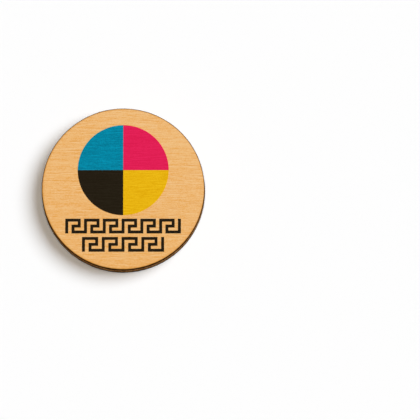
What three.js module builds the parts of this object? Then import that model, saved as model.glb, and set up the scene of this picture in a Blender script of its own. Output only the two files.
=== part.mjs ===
// Round wooden game piece: a disc laser-cut from three-ply plywood, with a colour print on its face and a bare back.
// Units are millimetres. +Z points out of the printed face, +Y is the top of the print, +X runs along the face grain,
// and the origin is the centre of the bare back, on which the piece rests.
import * as THREE from "three";

// Driving dimensions of the disc
const FACE_DIAMETER = 32; // across the printed face, over its rounded rim
const FACE_VENEER_THICKNESS = 1;
const CORE_VENEER_THICKNESS = 1.8;
const BACK_VENEER_THICKNESS = 1;
const GLUE_LINE_THICKNESS = 0.1;
const KERF_FLARE = 0.06; // how much further out the laser leaves the wall at the back than at the face
const RIM_ROUND = 0.16; // radius that the heat leaves on the two outer edges
const GLUE_RECESS = 0.06; // how far the glue burns back behind the veneers

// Driving dimensions of the print
const INK_THICKNESS = 0.04;
const PRINT_TOP_MARGIN = 3.35; // from the rim down to the quartered roundel
const PRINT_BOTTOM_MARGIN = 3.55; // from the lower band down to the rim
const PRINT_SIDE_MARGIN = 2; // from the end of a band out to the rim
const ROUNDEL_TO_BAND_GAP = 0.7;
const BAND_GAP = 0.7;
const KEY_STROKE = 0.58; // width of the printed line that forms the key pattern
const KEY_STROKE_GAP = 0.59; // bare wood between two runs of that line

// How finely round outlines are divided
const RIM_SEGMENTS = 120;
const RIM_ROUND_STEPS = 2; // each is two facets of a rounded edge
const QUARTER_SEGMENTS = 24;

// Heights and radii that follow from the driving dimensions
const faceRadius = FACE_DIAMETER / 2;
const backGlueZ = BACK_VENEER_THICKNESS;
const coreZ = backGlueZ + GLUE_LINE_THICKNESS;
const faceGlueZ = coreZ + CORE_VENEER_THICKNESS;
const faceVeneerZ = faceGlueZ + GLUE_LINE_THICKNESS;
const faceZ = faceVeneerZ + FACE_VENEER_THICKNESS;
const wallRadius = (z) => faceRadius + KERF_FLARE * (1 - z / faceZ);

function piece(name, geometry, color, roughness) {
  const mesh = new THREE.Mesh(geometry, new THREE.MeshStandardMaterial({ color, roughness, metalness: 0 }));
  mesh.name = name;
  return mesh;
}

// Turns a half section of radius and height about the Z axis.
function revolve(section) {
  const profile = section.getPoints(RIM_ROUND_STEPS);
  return new THREE.LatheGeometry(profile, RIM_SEGMENTS).rotateX(Math.PI / 2);
}

// Half section of one layer of the plywood, set back from the laser-cut wall, with square edges.
function layerSection(bottomZ, topZ, setback) {
  const section = new THREE.Path().moveTo(0, bottomZ);
  section.lineTo(wallRadius(bottomZ) - setback, bottomZ);
  section.lineTo(wallRadius(topZ) - setback, topZ);
  section.lineTo(0, topZ);
  return section;
}

// Top veneer: its upper edge is rounded by the heat of the cut.
function faceVeneerSection() {
  const round = Math.min(RIM_ROUND, FACE_VENEER_THICKNESS);
  const section = new THREE.Path().moveTo(0, faceVeneerZ);
  section.lineTo(wallRadius(faceVeneerZ), faceVeneerZ);
  section.lineTo(faceRadius, faceZ - round);
  section.absarc(faceRadius - round, faceZ - round, round, 0, Math.PI / 2, false);
  section.lineTo(0, faceZ);
  return section;
}

// Bottom veneer: its lower edge is rounded by the heat of the cut.
function backVeneerSection() {
  const round = Math.min(RIM_ROUND, BACK_VENEER_THICKNESS);
  const backRadius = wallRadius(0);
  const section = new THREE.Path().moveTo(0, 0);
  section.lineTo(backRadius - round, 0);
  section.absarc(backRadius - round, round, round, -Math.PI / 2, 0, false);
  section.lineTo(wallRadius(backGlueZ), backGlueZ);
  section.lineTo(0, backGlueZ);
  return section;
}

function plywoodDisc() {
  const disc = new THREE.Group();
  disc.add(
    piece("back_veneer", revolve(backVeneerSection()), "#eeb976", 0.6),
    piece("back_glue_line", revolve(layerSection(backGlueZ, coreZ, GLUE_RECESS)), "#2c1a0c", 0.6),
    piece("core_veneer", revolve(layerSection(coreZ, faceGlueZ, 0)), "#6a492a", 0.8),
    piece("face_glue_line", revolve(layerSection(faceGlueZ, faceVeneerZ, GLUE_RECESS)), "#2c1a0c", 0.6),
    piece("face_veneer", revolve(faceVeneerSection()), "#eeb976", 0.6),
  );
  return disc;
}

// A film of ink in the outline of a shape.
function inkFilm(shape) {
  return new THREE.ExtrudeGeometry(shape, {
    depth: INK_THICKNESS,
    bevelEnabled: false,
    curveSegments: QUARTER_SEGMENTS,
  });
}

// One quarter of a disc, counted anticlockwise from the +X axis.
function quarterShape(radius, quarter) {
  const start = (quarter * Math.PI) / 2;
  const shape = new THREE.Shape().moveTo(0, 0);
  shape.lineTo(radius * Math.cos(start), radius * Math.sin(start));
  shape.absarc(0, 0, radius, start, start + Math.PI / 2, false);
  shape.closePath();
  return shape;
}

// Middle line of a running key pattern. Each repeat rises, hooks back on itself and drops to the next.
const KEY_REPEAT = [[0, 0], [0, 4], [4, 4], [4, 2], [2, 2], [2, 0]];
const KEY_WIDTH_STEPS = 6;
const KEY_HEIGHT_STEPS = 4;
const keyStep = (KEY_STROKE + KEY_STROKE_GAP) / 2;
const bandHeight = KEY_HEIGHT_STEPS * keyStep + KEY_STROKE;

function keyMiddleLine(length) {
  const run = length - KEY_STROKE;
  const repeats = Math.max(1, Math.floor(run / (KEY_WIDTH_STEPS * keyStep)));
  const stepX = run / (repeats * KEY_WIDTH_STEPS);
  const place = (x, y) => new THREE.Vector2(x * stepX - run / 2, (y - KEY_HEIGHT_STEPS / 2) * keyStep);
  const line = [];
  for (let repeat = 0; repeat < repeats; repeat++) {
    for (const [x, y] of KEY_REPEAT) line.push(place(x + repeat * KEY_WIDTH_STEPS, y));
  }
  const endX = repeats * KEY_WIDTH_STEPS;
  line.push(place(endX, 0), place(endX, KEY_HEIGHT_STEPS));
  return line;
}

// Outline of a line of even width whose turns are all square, with square ends.
function strokedShape(line, width) {
  const half = width / 2;
  const last = line.length - 1;
  const direction = (i) => line[i + 1].clone().sub(line[i]).normalize();
  const side = (d) => new THREE.Vector2(-d.y, d.x);
  const left = [];
  const right = [];
  line.forEach((point, i) => {
    const arriving = direction(Math.max(i - 1, 0));
    const leaving = direction(Math.min(i, last - 1));
    const square = i === 0 || i === last;
    const across = square ? side(leaving) : side(arriving).add(side(leaving));
    const along = leaving.clone().multiplyScalar(i === 0 ? -1 : 1);
    const corner = square ? point.clone().addScaledVector(along, half) : point;
    left.push(corner.clone().addScaledVector(across, half));
    right.push(corner.clone().addScaledVector(across, -half));
  });
  return new THREE.Shape([...right, ...left.reverse()]);
}

// Four process inks in a quartered roundel, named anticlockwise from the upper right.
const QUARTER_INKS = [
  ["magenta_ink_quarter", "#e12255"],
  ["cyan_ink_quarter", "#0285a1"],
  ["black_ink_quarter", "#281f15"],
  ["yellow_ink_quarter", "#e7b313"],
];

function print() {
  const bandsHeight = 2 * bandHeight + BAND_GAP;
  const bandsTop = -faceRadius + PRINT_BOTTOM_MARGIN + bandsHeight;
  const roundelTop = faceRadius - PRINT_TOP_MARGIN;
  const roundelBottom = bandsTop + ROUNDEL_TO_BAND_GAP;
  const roundelRadius = (roundelTop - roundelBottom) / 2;
  const group = new THREE.Group();

  const roundel = new THREE.Group();
  roundel.position.set(0, (roundelTop + roundelBottom) / 2, 0);
  QUARTER_INKS.forEach(([name, color], quarter) => {
    roundel.add(piece(name, inkFilm(quarterShape(roundelRadius, quarter)), color, 0.5));
  });
  group.add(roundel);

  ["upper_key_band", "lower_key_band"].forEach((name, row) => {
    const bandTop = bandsTop - row * (bandHeight + BAND_GAP);
    const bandBottom = bandTop - bandHeight;
    const furthest = Math.max(Math.abs(bandTop), Math.abs(bandBottom));
    const halfChord = Math.sqrt(faceRadius ** 2 - furthest ** 2);
    const line = keyMiddleLine(2 * (halfChord - PRINT_SIDE_MARGIN));
    const band = piece(name, inkFilm(strokedShape(line, KEY_STROKE)), "#221c11", 0.5);
    band.position.set(0, (bandTop + bandBottom) / 2, 0);
    group.add(band);
  });

  group.position.z = faceZ;
  return group;
}

const gamePiece = new THREE.Group();
gamePiece.add(plywoodDisc(), print());

export default gamePiece;
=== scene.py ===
import math

import bpy
import numpy as np
from mathutils import Matrix, Vector


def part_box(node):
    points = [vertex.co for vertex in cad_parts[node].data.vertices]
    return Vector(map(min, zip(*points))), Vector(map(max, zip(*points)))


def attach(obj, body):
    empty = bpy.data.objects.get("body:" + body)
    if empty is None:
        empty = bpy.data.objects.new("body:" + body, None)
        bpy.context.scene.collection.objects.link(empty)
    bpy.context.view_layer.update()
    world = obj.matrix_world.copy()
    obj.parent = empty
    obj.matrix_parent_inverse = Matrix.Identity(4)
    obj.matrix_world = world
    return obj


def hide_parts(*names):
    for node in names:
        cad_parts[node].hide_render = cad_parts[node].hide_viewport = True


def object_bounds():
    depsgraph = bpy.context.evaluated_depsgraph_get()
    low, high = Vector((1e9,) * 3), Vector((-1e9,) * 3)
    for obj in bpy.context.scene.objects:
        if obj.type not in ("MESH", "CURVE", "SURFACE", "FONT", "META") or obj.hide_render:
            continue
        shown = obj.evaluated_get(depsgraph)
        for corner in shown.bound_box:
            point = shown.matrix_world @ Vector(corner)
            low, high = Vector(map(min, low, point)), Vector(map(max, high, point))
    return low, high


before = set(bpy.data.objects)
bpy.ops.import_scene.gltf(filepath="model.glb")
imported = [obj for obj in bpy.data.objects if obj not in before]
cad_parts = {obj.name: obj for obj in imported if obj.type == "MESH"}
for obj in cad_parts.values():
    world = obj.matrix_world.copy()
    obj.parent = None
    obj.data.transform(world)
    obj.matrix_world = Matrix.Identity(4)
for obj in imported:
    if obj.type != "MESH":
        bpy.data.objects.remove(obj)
cad_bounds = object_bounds()

MM = 0.001

# Sizes of the laser-cut disc in millimetres, as the solids have them
KERF_FLARE = 0.06
RIM_ROUND = 0.16
GLUE_RECESS = 0.06


def heights(node):
    """Heights of a solid's lowest and highest points, in millimetres."""
    return [round(corner[2] / MM, 3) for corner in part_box(node)]


THICKNESS = heights("face_veneer")[1]
FACE_RADIUS = round(cad_bounds[1][0] / MM - KERF_FLARE, 3)

# How finely the wall is divided: round the disc, up each kind of layer and over a rounded rim
WALL_POINTS = 1536
VENEER_STEPS = 8
CORE_STEPS = 12
GLUE_STEPS = 2
RIM_STEPS = 6
ANGLES = np.arange(WALL_POINTS) * (2 * math.pi / WALL_POINTS)


# Relief of the wall, in millimetres. Whole numbers of waves go round the disc, so that it closes on itself.

# Size of the smallest wave beside that of the largest
LEAST_WAVE = 0.4


def waves(seed, lowest, highest, count, depth):
    """A smooth random function of the angle round the disc, with the given depth (standard deviation)."""
    random = np.random.default_rng(seed)
    numbers = random.integers(lowest, highest + 1, count)
    phases = random.uniform(0, 2 * math.pi, count)
    sizes = random.uniform(LEAST_WAVE, 1.0, count)
    sizes *= depth * math.sqrt(2) / math.sqrt(float(np.sum(sizes**2)))

    def at(angle):
        total = np.zeros_like(angle)
        for number, phase, size in zip(numbers, phases, sizes):
            total += size * np.cos(number * angle + phase)
        return total

    return at


laser_lines = waves(seed=11, lowest=170, highest=520, count=60, depth=0.007)
wander = waves(seed=12, lowest=3, highest=40, count=24, depth=0.006)
uneven_rim = waves(seed=13, lowest=12, highest=120, count=40, depth=0.16)
uneven_glue = waves(seed=14, lowest=20, highest=260, count=50, depth=0.013)
back_joint = waves(seed=21, lowest=2, highest=26, count=20, depth=0.025)
face_joint = waves(seed=22, lowest=2, highest=26, count=20, depth=0.025)

# The laser's lines trail, in radians, and deepen from the face to the back
LINE_TRAIL = 0.02
LINE_SHARE_AT_FACE = 0.6
LINE_SHARE_GAIN = 0.8

# The wall is set in by part of its own relief
WALL_INSET = 0.004

# Bounds of the uneven rounding, as shares of the rim's radius, and of the glue's uneven recess
RIM_ROUND_SHARES = (0.55, 1.5)
GLUE_RECESSES = (0.02, 0.1)


def layer_height(z):
    """Height of a layer's edge all round the wall: the glued joints waver, the two outer faces are flat."""
    if 0 < z < THICKNESS:
        joint = back_joint if z < THICKNESS / 2 else face_joint
        return z + joint(ANGLES)
    return np.full(WALL_POINTS, z)


def wall_radius(z):
    """Radius of the laser-cut wall at the heights z, one for each angle."""
    depth = 1 - z / THICKNESS
    trailing = LINE_TRAIL * depth**2
    lines = laser_lines(ANGLES + trailing) * (LINE_SHARE_AT_FACE + LINE_SHARE_GAIN * depth)
    return FACE_RADIUS + KERF_FLARE * depth + wander(ANGLES) + lines - WALL_INSET


class Turned:
    """A closed body of rings round the Z axis, from its lower cap up its wall to its upper cap."""

    # How far the rings of a cap lie in from its edge, and where it has come level, in millimetres
    CAP_INSETS = (0.25, 0.6, 1.2, 2.4, 5.0, 9.5)
    LEVEL_INSET = 1.2

    # Edges that turn by more degrees than this stay sharp
    SHARP_ANGLE = 38

    FACE_SLOT = 0
    WALL_SLOT = 1

    def __init__(self):
        self.points = []
        self.faces = []
        self.slots = []

    def ring(self, radius, height):
        start = len(self.points)
        count = len(radius)
        angles = np.arange(count) * (2 * math.pi / count)
        rows = zip(radius * np.cos(angles) * MM, radius * np.sin(angles) * MM, height * MM)
        self.points.extend(tuple(map(float, row)) for row in rows)
        return [start + i for i in range(count)]

    def join(self, lower, upper):
        """Faces between two rings that lie one above the other on the outside."""
        count = len(lower)
        for i in range(count):
            j = (i + 1) % count
            self.faces.append((lower[i], lower[j], upper[j], upper[i]))
            self.slots.append(self.WALL_SLOT)

    def cap_face(self, corners, upward):
        self.faces.append(corners if upward else corners[::-1])
        self.slots.append(self.FACE_SLOT)

    def cap(self, edge, radius, height, level, upward):
        """Closes a ring with rings that have half as many points each time, and a point on the axis."""
        outer = edge
        for inset in self.CAP_INSETS:
            radius = radius[::2]
            height = height[::2]
            ease = min(1.0, inset / self.LEVEL_INSET)
            inner_radius = np.full(len(radius), float(np.min(radius))) - inset
            inner = self.ring(inner_radius, height * (1 - ease) + level * ease)
            count = len(inner)
            for i in range(count):
                a, b, c = outer[2 * i], outer[2 * i + 1], outer[(2 * i + 2) % (2 * count)]
                d, e = inner[i], inner[(i + 1) % count]
                for corners in ((a, b, d), (b, e, d), (b, c, e)):
                    self.cap_face(corners, upward)
            outer = inner
        centre = len(self.points)
        self.points.append((0.0, 0.0, level * MM))
        for i, a in enumerate(outer):
            self.cap_face((a, outer[(i + 1) % len(outer)], centre), upward)

    def object(self, name, face_material, wall_material):
        mesh = bpy.data.meshes.new(name)
        mesh.from_pydata(self.points, [], self.faces)
        mesh.materials.append(face_material)
        mesh.materials.append(wall_material)
        mesh.polygons.foreach_set("material_index", self.slots)
        mesh.shade_smooth()
        mesh.set_sharp_from_angle(angle=math.radians(self.SHARP_ANGLE))
        piece = bpy.data.objects.new(name, mesh)
        bpy.context.collection.objects.link(piece)
        return piece


def wall_rings(bottom, top, steps, inward, round_low, round_high):
    """Radius and height, all round the disc, of the rings of a layer's wall, from the lowest up."""
    low = layer_height(bottom)
    high = layer_height(top)
    turn = RIM_ROUND * np.clip(1 + uneven_rim(ANGLES), *RIM_ROUND_SHARES)
    turns = np.linspace(0, math.pi / 2, RIM_STEPS + 1)[1:]
    start = low + turn if round_low else low
    end = high - turn if round_high else high
    rings = []
    if round_low:
        for t in reversed(turns):
            rings.append((wall_radius(start) - turn * (1 - math.cos(t)), start - turn * math.sin(t)))
    for share in np.linspace(0, 1, steps + 1):
        z = start + (end - start) * share
        rings.append((wall_radius(z) - inward, z))
    if round_high:
        for t in turns:
            rings.append((wall_radius(end) - turn * (1 - math.cos(t)), end + turn * math.sin(t)))
    return rings


def layer(name, node, materials, steps, recess=0.0, round_low=False, round_high=False):
    """One layer of the plywood: a veneer, or a glue line that is burnt back behind the wall."""
    bottom, top = heights(node)
    inward = np.clip(recess + uneven_glue(ANGLES), *GLUE_RECESSES) if recess else 0.0
    rings = wall_rings(bottom, top, steps, inward, round_low, round_high)
    body = Turned()
    made = [body.ring(radius, height) for radius, height in rings]
    for lower, upper in zip(made, made[1:]):
        body.join(lower, upper)
    body.cap(made[0], *rings[0], bottom, upward=False)
    body.cap(made[-1], *rings[-1], top, upward=True)
    return body.object(name, *materials)


# Materials

class Graph:
    """Adds nodes to a node tree. An input is a socket to link or a value: three numbers for a colour."""

    def __init__(self, tree):
        self.tree = tree

    def node(self, kind, inputs=None, **settings):
        made = self.tree.nodes.new(kind)
        for name, value in settings.items():
            setattr(made, name, value)
        for key, value in (inputs or {}).items():
            socket = made.inputs[key]
            if isinstance(value, bpy.types.NodeSocket):
                self.tree.links.new(value, socket)
            elif socket.type == "RGBA":
                socket.default_value = (*value, 1)
            else:
                socket.default_value = value
        return made

    def math(self, operation, a, b=0.0, c=0.0):
        return self.node("ShaderNodeMath", {0: a, 1: b, 2: c}, operation=operation).outputs[0]

    def add(self, a, b):
        return self.math("ADD", a, b)

    def times(self, a, b):
        return self.math("MULTIPLY", a, b)

    def times_add(self, a, b, c):
        return self.math("MULTIPLY_ADD", a, b, c)

    def centred(self, value):
        """A noise or tone, which lies about a half, made to lie about zero."""
        return self.add(value, -0.5)

    def parts(self, vector):
        return list(self.node("ShaderNodeSeparateXYZ", {0: vector}).outputs)

    def vector(self, x, y, z=0.0):
        return self.node("ShaderNodeCombineXYZ", {0: x, 1: y, 2: z}).outputs[0]

    def vector_math(self, operation, *values):
        return self.node("ShaderNodeVectorMath", dict(enumerate(values)), operation=operation).outputs

    def length(self, vector):
        return self.vector_math("LENGTH", vector)["Value"]

    def dot(self, vector, other):
        return self.vector_math("DOT_PRODUCT", vector, other)["Value"]

    def scaled(self, vector, scale, offset=(0, 0, 0)):
        return self.vector_math("MULTIPLY_ADD", vector, scale, offset)[0]

    def noise(self, vector, detail=2.0, roughness=0.5):
        inputs = {"Vector": vector, "Scale": 1.0, "Detail": detail, "Roughness": roughness}
        return self.node("ShaderNodeTexNoise", inputs).outputs[0]

    def step(self, value, low, high, from_value=0.0, to_value=1.0):
        """Eases from one value to another while the input goes from low to high."""
        inputs = {0: value, 1: low, 2: high, 3: from_value, 4: to_value}
        return self.node("ShaderNodeMapRange", inputs, interpolation_type="SMOOTHSTEP").outputs[0]

    def mix(self, factor, a, b):
        return self.node("ShaderNodeMix", {0: factor, 6: a, 7: b}, data_type="RGBA").outputs[2]

    def ramp(self, value, positions, colours):
        made = self.node("ShaderNodeValToRGB", {0: value})
        elements = made.color_ramp.elements
        for position in positions[len(elements):]:
            elements.new(position)
        for element, position, colour in zip(elements, positions, colours):
            element.position = position
            element.color = (*colour, 1)
        return made.outputs[0]

    def bump(self, height, distance_mm):
        return self.node("ShaderNodeBump", {"Distance": distance_mm * MM, "Height": height}).outputs[0]


def millimetres(graph):
    """The shared frame's coordinates in millimetres."""
    place = graph.node("ShaderNodeTexCoord").outputs["Object"]
    return graph.scaled(place, (1 / MM, 1 / MM, 1 / MM))


def new_material(name):
    material = bpy.data.materials.new(name)
    material.use_nodes = True
    material.node_tree.nodes.clear()
    return material, Graph(material.node_tree)


def surface(graph, colour, roughness, normal, specular):
    shader = graph.node(
        "ShaderNodeBsdfPrincipled",
        {"Base Color": colour, "Roughness": roughness, "Normal": normal, "Specular IOR Level": specular},
    )
    graph.node("ShaderNodeOutputMaterial", {0: shader.outputs[0]})


# Grain of the veneers

# Streaks of the grain: share of the tone, and waves per millimetre along and across the grain
STREAKS = [
    (0.20, 0.08, 1.0),
    (0.14, 0.08, 2.2),
    (0.80, 0.17, 9.0),
    (0.74, 0.40, 9.0),
    (0.60, 0.90, 8.0),
    (1.12, 4.00, 8.0),
]
PLAIN_TONE = 0.465

# Each kind of streak is taken from its own place in the noise, along one slanting line
FIRST_PLACE = 3.1
PLACE_STEP = 8.3
PLACE_LINE = (1.0, 1.7, 0.6)

# The fibres sway: waves per millimetre, and how far in millimetres
SWAY_WAVES = (0.07, 0.1, 0.1)
SWAY = 0.9

# Pores are short dark streaks, and each has a painted highlight beside it: a light streak that stands for
# the lit side of the pore's groove
PORE_WAVES = (0.3, 6.0)
PORE_PLACE = 51.0
PORE_LIMITS = (0.62, 0.80)
PORE_DEPTH = 0.4
PAINTED_HIGHLIGHT_DISTANCE = 0.2
PAINTED_HIGHLIGHT_SHARE = 0.5


def grain_group():
    """Fine straight grain along the X axis of its vector, which is in millimetres. Its tone holds a painted
    highlight beside each pore.
    """
    tree = bpy.data.node_groups.new("veneer_grain", "ShaderNodeTree")
    tree.interface.new_socket("Vector", in_out="INPUT", socket_type="NodeSocketVector")
    for name in ("Tone", "Pores", "Relief"):
        tree.interface.new_socket(name, in_out="OUTPUT", socket_type="NodeSocketFloat")
    graph = Graph(tree)
    vector = graph.node("NodeGroupInput").outputs[0]
    x, y, z = graph.parts(vector)
    sway = graph.centred(graph.noise(graph.scaled(vector, SWAY_WAVES), detail=1.0))
    bent = graph.vector(x, graph.times_add(sway, SWAY, y), z)

    def streak(along, across, place, aside=0.0):
        px, py, pz = (place * share for share in PLACE_LINE)
        stretched = graph.scaled(bent, (along, across, across), (px, py + aside * across, pz))
        return graph.noise(stretched, detail=0.0)

    tone = PLAIN_TONE
    for i, (share, along, across) in enumerate(STREAKS):
        fibres = graph.centred(streak(along, across, FIRST_PLACE + PLACE_STEP * i))
        tone = graph.times_add(fibres, share, tone)
    pores = graph.step(streak(*PORE_WAVES, PORE_PLACE), *PORE_LIMITS)
    # Painted highlight: the pores' pattern, moved a little aside, lightens the tone beside each pore
    painted_highlights = graph.step(streak(*PORE_WAVES, PORE_PLACE, PAINTED_HIGHLIGHT_DISTANCE), *PORE_LIMITS)
    tone = graph.times_add(painted_highlights, PAINTED_HIGHLIGHT_SHARE, tone)
    relief = graph.times_add(pores, -PORE_DEPTH, tone)
    graph.node("NodeGroupOutput", {0: tone, 1: pores, 2: relief})
    return tree


GRAIN = grain_group()


def grain(graph, vector):
    """Tone, pores and relief of the grain."""
    return graph.node("ShaderNodeGroup", {"Vector": vector}, node_tree=GRAIN).outputs


# Veneers

WOOD_TONES = (0.0, 0.5, 1.0)
WOOD_COLOURS = [(0.770, 0.345, 0.062), (0.836, 0.464, 0.166), (0.872, 0.545, 0.246)]
PORE_COLOUR = (0.720, 0.300, 0.052)
PORE_SHARE = 0.5
TOASTED = (0.600, 0.250, 0.016)
SCORCHED = (0.420, 0.140, 0.010)
# Colour of the wall's dark rims: char at the top, char and painted contact shade at the bottom
BURNT_RIM_AND_CONTACT_SHADE = (0.020, 0.007, 0.002)

# Charred walls of the outer veneers and of the core: dark lines, the wall between them, rubbed patches
WALL_TONES = (0.25, 0.5, 0.75)
OUTER_WALL = [(0.024, 0.009, 0.003), (0.062, 0.028, 0.009), (0.140, 0.071, 0.026)]
CORE_WALL = [(0.145, 0.062, 0.021), (0.345, 0.160, 0.054), (0.520, 0.276, 0.110)]

# Pattern of the wall: waves per millimetre of its lines and blotches, and shares of the blotches and fibres
LINE_WAVES = (5.5, 5.5, 0.35)
LINE_ROUGHNESS = 0.6
BLOTCH_WAVES = (0.8, 0.8, 0.9)
BLOTCH_SHARE = 0.6
FIBRE_SHARE = 0.27

# Burnt upper rim of the wall, and a lower rim that is burnt and also painted contact shade where the disc
# meets the floor: where they end and are fullest, how ragged and how strong they are
BURN_AND_SHADE_WIDTH = 0.75
FULL_BURN_AND_SHADE_WIDTH = 0.1
BURN_AND_SHADE_RAGGEDNESS = 1.3
BURN_AND_SHADE_SHARE = 0.9

# Each veneer is cut from its own place in the wood, along one slanting line
CUT_LINE = (1.0, 0.7, 0.3)

# How much the veneer's tone lightens towards +X and +Y, and how much the toasting beside the cut
# strengthens towards -X and -Y, for each millimetre
TONE_DRIFT = (0.0020, 0.0050, 0)
TOAST_DRIFT = (-0.029, -0.029, 0)

# The face beside the cut is toasted, further out scorched and at the rim charred, all with uneven limits
TOAST_WIDTH = 0.55
TOAST_SHARE = 0.36
TOAST_UNEVENNESS = 0.3
SCORCH_WIDTH = 0.28
SCORCH_SHARE = 0.8
CHAR_WIDTH = 0.13
CHAR_UNEVENNESS = 0.08
FULL_CHAR_RADIUS = FACE_RADIUS - CHAR_WIDTH / 2
PATCH_WAVES = (1.6, 1.6, 1.6)
PATCH_DETAIL = 3.0

# Finish of the veneers: the bump's depth is in millimetres, and the wood has part of the wall's relief
VENEER_BUMP = 0.012
WOOD_RELIEF = 0.25
WOOD_ROUGHNESS = 0.6
PORE_ROUGHNESS = 0.1
CHAR_ROUGHNESS = 0.2
FACE_SPECULAR = 0.12
WALL_SPECULAR = 0.0


def wood_colour(graph, tone, pores):
    colour = graph.ramp(tone, WOOD_TONES, WOOD_COLOURS)
    return graph.mix(graph.times(pores, PORE_SHARE), colour, PORE_COLOUR)


def browned(graph, wood, place, radius, edge, patchy):
    """Wood that the heat has toasted and scorched beside the cut."""
    toast = graph.step(
        graph.times_add(patchy, TOAST_UNEVENNESS, radius),
        FACE_RADIUS - TOAST_WIDTH,
        FULL_CHAR_RADIUS,
        to_value=TOAST_SHARE,
    )
    toast = graph.times(toast, graph.add(graph.dot(place, TOAST_DRIFT), 1.0))
    scorch = graph.step(edge, FACE_RADIUS - SCORCH_WIDTH, FULL_CHAR_RADIUS, to_value=SCORCH_SHARE)
    return graph.mix(scorch, graph.mix(toast, wood, TOASTED), SCORCHED)


def charred_wall(graph, place, z, tone, colours):
    """Colour and relief of the laser-cut wall: upright lines, the layer's own fibres, a burnt upper rim,
    and a lower rim that is burnt and also painted contact shade at the floor.
    """
    lines = graph.noise(graph.scaled(place, LINE_WAVES), roughness=LINE_ROUGHNESS)
    blotches = graph.centred(graph.noise(graph.scaled(place, BLOTCH_WAVES)))
    burnt = graph.times_add(graph.centred(tone), FIBRE_SHARE, lines)
    burnt = graph.times_add(blotches, BLOTCH_SHARE, burnt)
    colour = graph.ramp(burnt, WALL_TONES, colours)
    # Darkens the wall near its top and bottom: char at the top, char and painted contact shade where it
    # meets the floor
    middle = THICKNESS / 2
    reach = graph.math("ABSOLUTE", graph.add(z, -middle))
    reach = graph.times_add(graph.centred(lines), -BURN_AND_SHADE_RAGGEDNESS, reach)
    rim = graph.step(reach, middle - BURN_AND_SHADE_WIDTH, middle - FULL_BURN_AND_SHADE_WIDTH, to_value=BURN_AND_SHADE_SHARE)
    return graph.mix(rim, colour, BURNT_RIM_AND_CONTACT_SHADE), lines


def veneer_material(name, wall_colours, along_y, seed, specular):
    material, graph = new_material(name)
    place = millimetres(graph)
    x, y, z = graph.parts(place)
    turned = graph.vector(y, x, z) if along_y else graph.vector(x, y, z)
    cut_from = tuple(seed * share for share in CUT_LINE)
    tone, pores, relief = grain(graph, graph.scaled(turned, (1, 1, 1), cut_from))
    tone = graph.add(tone, graph.dot(place, TONE_DRIFT))
    radius = graph.length(graph.vector(x, y))
    patchy = graph.centred(graph.noise(graph.scaled(place, PATCH_WAVES), detail=PATCH_DETAIL))
    edge = graph.times_add(patchy, CHAR_UNEVENNESS, radius)

    wood = browned(graph, wood_colour(graph, tone, pores), place, radius, edge, patchy)
    wall, lines = charred_wall(graph, place, z, tone, wall_colours)
    char = graph.step(edge, FACE_RADIUS - CHAR_WIDTH, FULL_CHAR_RADIUS)
    height = graph.mix(char, graph.times(relief, WOOD_RELIEF), lines)
    roughness = graph.times_add(pores, PORE_ROUGHNESS, WOOD_ROUGHNESS)
    roughness = graph.times_add(char, CHAR_ROUGHNESS, roughness)
    surface(graph, graph.mix(char, wood, wall), roughness, graph.bump(height, VENEER_BUMP), specular)
    return material


def veneer_materials(name, wall_colours, along_y=False, seed=0.0):
    """The veneer with its grain, browned near the rim, and the same veneer on the charred wall."""
    return [
        veneer_material(name + "_face", wall_colours, along_y, seed, FACE_SPECULAR),
        veneer_material(name + "_wall", wall_colours, along_y, seed, WALL_SPECULAR),
    ]


# Glue

GLUE_WAVES = (3.5, 3.5, 3.5)
GLUE_DETAIL = 3.0
GLUE_TONES = (0.35, 0.65)
GLUE_COLOURS = [(0.016, 0.006, 0.002), (0.060, 0.026, 0.010)]
GLUE_BEADS = (0.3, 0.7)
GLUE_ROUGHNESS = (0.5, 0.8)
GLUE_BUMP = 0.02
GLUE_SPECULAR = 0.1


def glue_material():
    """Glue that has burnt to small dull beads, darker and shinier between them."""
    material, graph = new_material("burnt_glue")
    beads = graph.noise(graph.scaled(millimetres(graph), GLUE_WAVES), detail=GLUE_DETAIL)
    colour = graph.ramp(beads, GLUE_TONES, GLUE_COLOURS)
    roughness = graph.step(beads, *GLUE_BEADS, *GLUE_ROUGHNESS)
    surface(graph, colour, roughness, graph.bump(beads, GLUE_BUMP), GLUE_SPECULAR)
    return material


# Inks

# Colours of each ink where it lies deep, plain and thin
INK_TONES = (0.1, 0.5, 0.9)
INKS = {
    "cyan_ink": [(0.0000, 0.170, 0.265), (0.0002, 0.233, 0.359), (0.0010, 0.292, 0.444)],
    "magenta_ink": [(0.700, 0.0095, 0.0740), (0.752, 0.0125, 0.0865), (0.795, 0.0165, 0.1020)],
    "yellow_ink": [(0.725, 0.372, 0.001), (0.808, 0.452, 0.004), (0.855, 0.507, 0.009)],
    "black_ink": [(0.0115, 0.0075, 0.0028), (0.0150, 0.0103, 0.0045), (0.0190, 0.0138, 0.0070)],
}
INK_ROUGHNESS = 0.6
INK_PORE_ROUGHNESS = 0.15
INK_BUMP = 0.004
INK_SPECULAR = 0.02


def ink_material(name, colours):
    """A thin ink film: the grain of the veneer under it shows through, and ink gathers in the pores."""
    material, graph = new_material(name)
    x, y, _ = graph.parts(millimetres(graph))
    tone, pores, relief = grain(graph, graph.vector(x, y, THICKNESS))
    colour = graph.ramp(tone, INK_TONES, colours)
    colour = graph.mix(graph.times(pores, PORE_SHARE), colour, colours[0])
    roughness = graph.times_add(pores, INK_PORE_ROUGHNESS, INK_ROUGHNESS)
    surface(graph, colour, roughness, graph.bump(relief, INK_BUMP), INK_SPECULAR)
    return material


# The plywood

def stands_for(piece, node):
    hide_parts(node)
    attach(piece, "root")


back_wood = veneer_materials("back_veneer", OUTER_WALL, seed=87.0)
core_wood = veneer_materials("core_veneer", CORE_WALL, along_y=True, seed=41.0)
face_wood = veneer_materials("face_veneer", OUTER_WALL)
burnt_glue = [glue_material()] * 2

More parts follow.
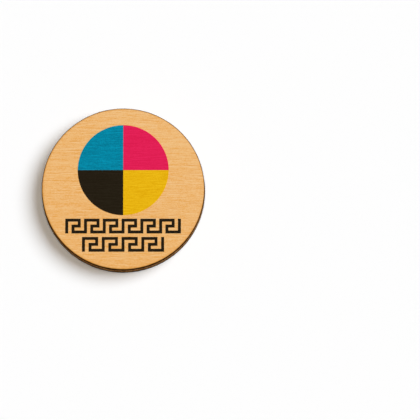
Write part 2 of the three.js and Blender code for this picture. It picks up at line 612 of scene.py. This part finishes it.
back_ply = layer("back_veneer_ply", "back_veneer", back_wood, VENEER_STEPS, round_low=True)
back_seam = layer("back_glue_seam", "back_glue_line", burnt_glue, GLUE_STEPS, recess=GLUE_RECESS)
core_ply = layer("core_veneer_ply", "core_veneer", core_wood, CORE_STEPS)
face_seam = layer("face_glue_seam", "face_glue_line", burnt_glue, GLUE_STEPS, recess=GLUE_RECESS)
face_ply = layer("face_veneer_ply", "face_veneer", face_wood, VENEER_STEPS, round_high=True)
stands_for(back_ply, "back_veneer")
stands_for(back_seam, "back_glue_line")
stands_for(core_ply, "core_veneer")
stands_for(face_seam, "face_glue_line")
stands_for(face_ply, "face_veneer")


# The print

PRINTED = {
    "cyan_ink_quarter": "cyan_ink",
    "magenta_ink_quarter": "magenta_ink",
    "yellow_ink_quarter": "yellow_ink",
    "black_ink_quarter": "black_ink",
    "upper_key_band": "black_ink",
    "lower_key_band": "black_ink",
}
inks = {name: ink_material(name, colours) for name, colours in INKS.items()}
for node, ink in PRINTED.items():
    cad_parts[node].material_slots[0].material = inks[ink]


# Floor, light and camera

# The floor's half side in metres, and its level, a hair above the bare back, in millimetres
FLOOR_REACH = 3.0
FLOOR_LEVEL = 0.01

# Colour of the floor as it lights the disc, and as it is seen
FLOOR_LIGHT = (0.8, 0.8, 0.8)
FLOOR_SEEN = (0.99, 0.99, 0.99)

# Soft lights: colour of the light on the floor, elevation, bearing and width of the source in degrees
LIGHTS = {
    "soft_key": ((0.630, 0.670, 0.718), 52.5, 26.0, 42.0),
    "overhead_fill": ((0.340, 0.300, 0.252), 90.0, 0.0, 9.0),
}
ROOM_LIGHT = (0.03, 0.03, 0.03)
LIGHT_FROM_BELOW = (1, 1, 1)
ROOM_SEEN = (1, 1, 1)

# Where the photograph has the middle of the disc's face and how large its radius is, in pixels
IMAGE_SIDE = 420
FACE_CENTRE_SEEN = (123.2, 188.9)
FACE_RADIUS_SEEN = 81.5

# The camera's place in degrees, a little to the right of the disc's front, and its lens in millimetres
CAMERA_ELEVATION = 81.5
CAMERA_BEARING = -84.0
LENS = 600.0
SENSOR = 36.0
CLIP_DISTANCES = (0.01, 20.0)


def direction(elevation, bearing):
    """The way to something at these angles in degrees. The bearing is counted from +X towards +Y."""
    rise, turn = math.radians(elevation), math.radians(bearing)
    return Vector((math.cos(rise) * math.cos(turn), math.cos(rise) * math.sin(turn), math.sin(rise)))


def seen_directly(graph):
    """One where the camera, a gloss or a glass sees the surface, zero where it only lights other things."""
    rays = graph.node("ShaderNodeLightPath").outputs
    seen = graph.math("MAXIMUM", rays["Is Camera Ray"], rays["Is Transmission Ray"])
    return graph.math("MAXIMUM", seen, rays["Is Glossy Ray"])


def floor_material():
    """White from above. From below it is see-through, so that the bare back can be looked at."""
    material, graph = new_material("floor_white")
    colour = graph.mix(seen_directly(graph), FLOOR_LIGHT, FLOOR_SEEN)
    white = graph.node("ShaderNodeBsdfDiffuse", {0: colour})
    clear = graph.node("ShaderNodeBsdfTransparent")
    below = graph.node("ShaderNodeNewGeometry").outputs["Backfacing"]
    shader = graph.node("ShaderNodeMixShader", {0: below, 1: white.outputs[0], 2: clear.outputs[0]})
    graph.node("ShaderNodeOutputMaterial", {0: shader.outputs[0]})
    return material


def floor():
    mesh = bpy.data.meshes.new("floor")
    signs = ((-1, -1), (1, -1), (1, 1), (-1, 1))
    corners = [(x * FLOOR_REACH, y * FLOOR_REACH, FLOOR_LEVEL * MM) for x, y in signs]
    mesh.from_pydata(corners, [], [(0, 1, 2, 3)])
    mesh.materials.append(floor_material())
    made = bpy.data.objects.new("floor", mesh)
    bpy.context.collection.objects.link(made)


def lamps():
    for name, (colour, elevation, bearing, width) in LIGHTS.items():
        lamp = bpy.data.lights.new(name, "SUN")
        lamp.color = colour
        lamp.energy = math.pi / math.sin(math.radians(elevation))
        lamp.angle = math.radians(width)
        made = bpy.data.objects.new(name, lamp)
        made.location = direction(elevation, bearing)
        made.rotation_euler = made.location.to_track_quat("Z", "Y").to_euler()
        bpy.context.collection.objects.link(made)


def room():
    """White where the camera or a gloss sees it, faint as a light on the object."""
    world = bpy.data.worlds.new("studio")
    bpy.context.scene.world = world
    world.use_nodes = True
    world.node_tree.nodes.clear()
    graph = Graph(world.node_tree)
    upward = graph.parts(graph.node("ShaderNodeTexCoord").outputs["Generated"])[2]
    light = graph.mix(graph.math("LESS_THAN", upward, 0.0), ROOM_LIGHT, LIGHT_FROM_BELOW)
    colour = graph.mix(seen_directly(graph), light, ROOM_SEEN)
    sky = graph.node("ShaderNodeBackground", {"Color": colour, "Strength": 1.0})
    graph.node("ShaderNodeOutputWorld", {0: sky.outputs[0]})


def camera():
    """Looks past the disc, so that its face stands where the photograph has it."""
    data = bpy.data.cameras.new("camera")
    data.lens = LENS
    data.sensor_width = SENSOR
    data.clip_start, data.clip_end = CLIP_DISTANCES
    focal = IMAGE_SIDE * LENS / SENSOR
    distance = FACE_RADIUS * MM * focal / FACE_RADIUS_SEEN
    back = direction(CAMERA_ELEVATION, CAMERA_BEARING)
    right = (Vector((1, 0, 0)) - back * back.x).normalized()
    aim = Matrix((right, back.cross(right), back)).transposed().to_4x4()
    across = math.atan((FACE_CENTRE_SEEN[0] - IMAGE_SIDE / 2) / focal)
    down = math.atan((FACE_CENTRE_SEEN[1] - IMAGE_SIDE / 2) / focal)
    aim = aim @ Matrix.Rotation(down, 4, "X") @ Matrix.Rotation(across, 4, "Y")
    made = bpy.data.objects.new("camera", data)
    made.matrix_world = Matrix.Translation(Vector((0, 0, THICKNESS * MM)) + back * distance) @ aim
    bpy.context.collection.objects.link(made)
    bpy.context.scene.camera = made


floor()
lamps()
room()
camera()
bpy.context.scene.view_settings.view_transform = "Standard"
